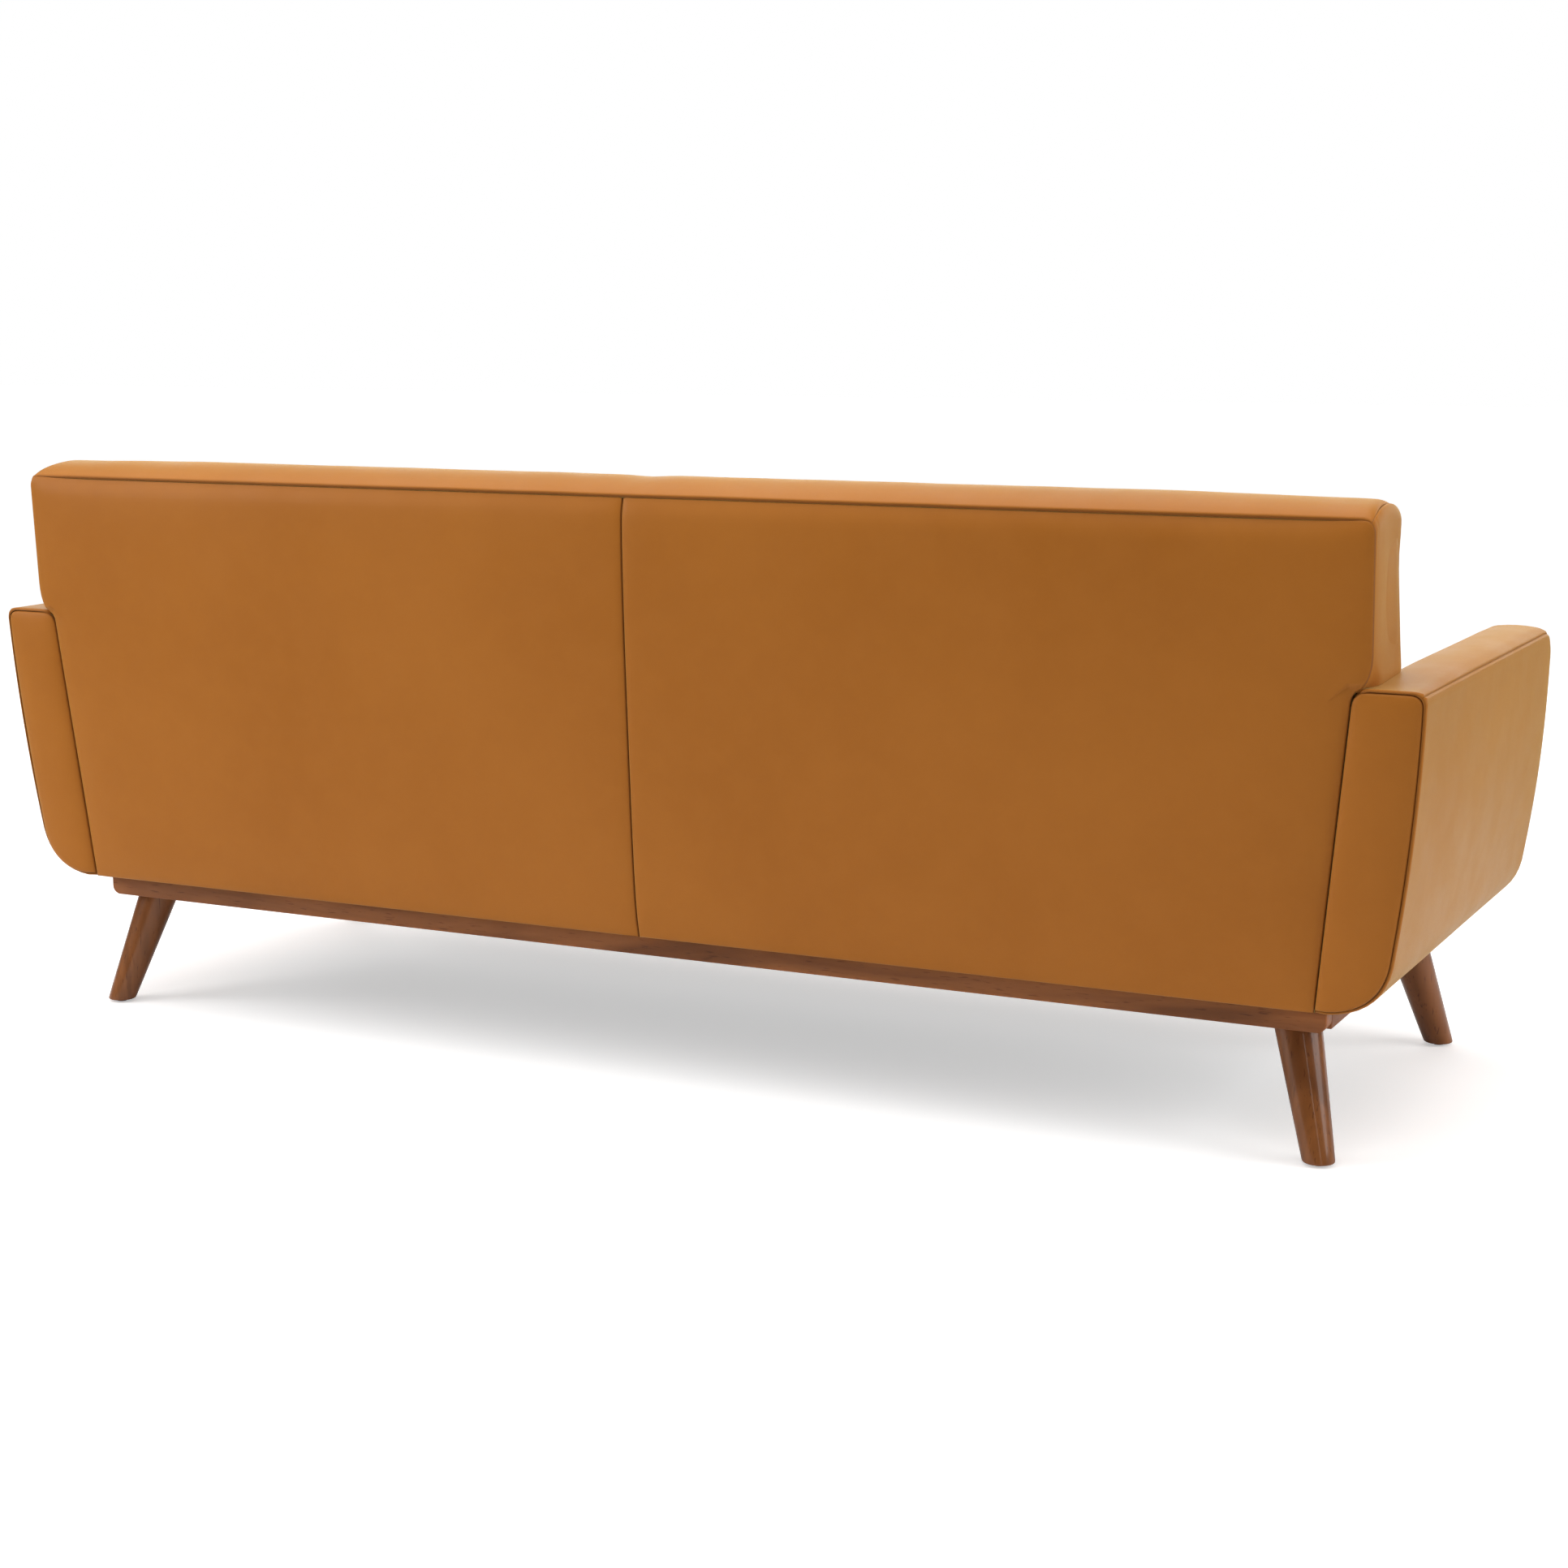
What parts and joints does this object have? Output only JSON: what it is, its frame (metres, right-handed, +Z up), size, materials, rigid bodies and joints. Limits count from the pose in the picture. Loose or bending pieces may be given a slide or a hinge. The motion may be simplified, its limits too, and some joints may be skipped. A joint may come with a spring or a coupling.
{
  "type": "sofa",
  "caption": "Leather sofa with a reclined two-panel back, flared padded arms, loose seat cushions, a wooden plinth and splayed round tapered legs.",
  "frame": {"origin": "on the floor, under the middle of the sofa's bounding box", "axes": "+X towards the sitter's left, -Y towards the front of the seat, +Z up"},
  "size_m": [2.2972, 0.8754, 0.89],
  "materials": {
    "hide": "satin",
    "stained_wood": "satin",
    "frame_wood": "matte",
    "spring_steel": "satin",
    "bolt_steel": "satin",
    "glide_plastic": "matte",
    "webbing": "matte",
    "deck_felt": "matte",
    "lining": "matte",
    "foam": "matte"
  },
  "bodies": {
    "sofa": {"arm_board_left": "frame_wood", "arm_board_right": "frame_wood", "arm_front_facing_left": "hide", "arm_front_facing_right": "hide", "arm_pad_left": "hide", "arm_pad_right": "hide", "arm_rear_facing_left": "hide", "arm_rear_facing_right": "hide", "back_button_left_1": "hide", "back_button_left_2": "hide", "back_button_left_3": "hide", "back_button_right_1": "hide", "back_button_right_2": "hide", "back_button_right_3": "hide", "back_cushion_left": "hide", "back_cushion_right": "hide", "back_post_centre": "frame_wood", "back_post_left": "frame_wood", "back_post_right": "frame_wood", "back_rail_top": "frame_wood", "back_rear_panel_left": "hide", "back_rear_panel_right": "hide", "back_side_band_left": "hide", "back_side_band_right": "hide", "back_top_band": "hide", "back_webbing": "webbing", "corner_block_back_left": "frame_wood", "corner_block_back_right": "frame_wood", "corner_block_front_left": "frame_wood", "corner_block_front_right": "frame_wood", "dust_cover": "lining", "glide_back_left": "glide_plastic", "glide_back_right": "glide_plastic", "glide_front_left": "glide_plastic", "glide_front_right": "glide_plastic", "leg_back_left": "stained_wood", "leg_back_right": "stained_wood", "leg_bolt_back_left": "bolt_steel", "leg_bolt_back_right": "bolt_steel", "leg_bolt_front_left": "bolt_steel", "leg_bolt_front_right": "bolt_steel", "leg_front_left": "stained_wood", "leg_front_right": "stained_wood", "plinth_rail_back": "stained_wood", "plinth_rail_front": "stained_wood", "plinth_rail_left": "stained_wood", "plinth_rail_right": "stained_wood", "seat_deck": "deck_felt", "seat_front_border": "hide", "seat_rail_back": "frame_wood", "seat_rail_front": "frame_wood", "seat_rail_left": "frame_wood", "seat_rail_right": "frame_wood", "seat_spring_set": "spring_steel", "seat_stretcher_centre": "frame_wood"},
    "cushion_left": {"seat_cushion_cover_left": "hide", "seat_cushion_core_left": "foam"},
    "cushion_right": {"seat_cushion_cover_right": "hide", "seat_cushion_core_right": "foam"}
  },
  "joints": [
    {"name": "seat_cushion_left_lift", "type": "slide", "parent": "sofa", "child": "cushion_left", "axis": [0, 0, 1], "range_m": [0, 0.6]},
    {"name": "seat_cushion_right_lift", "type": "slide", "parent": "sofa", "child": "cushion_right", "axis": [0, 0, 1], "range_m": [0, 0.6]}
  ]
}
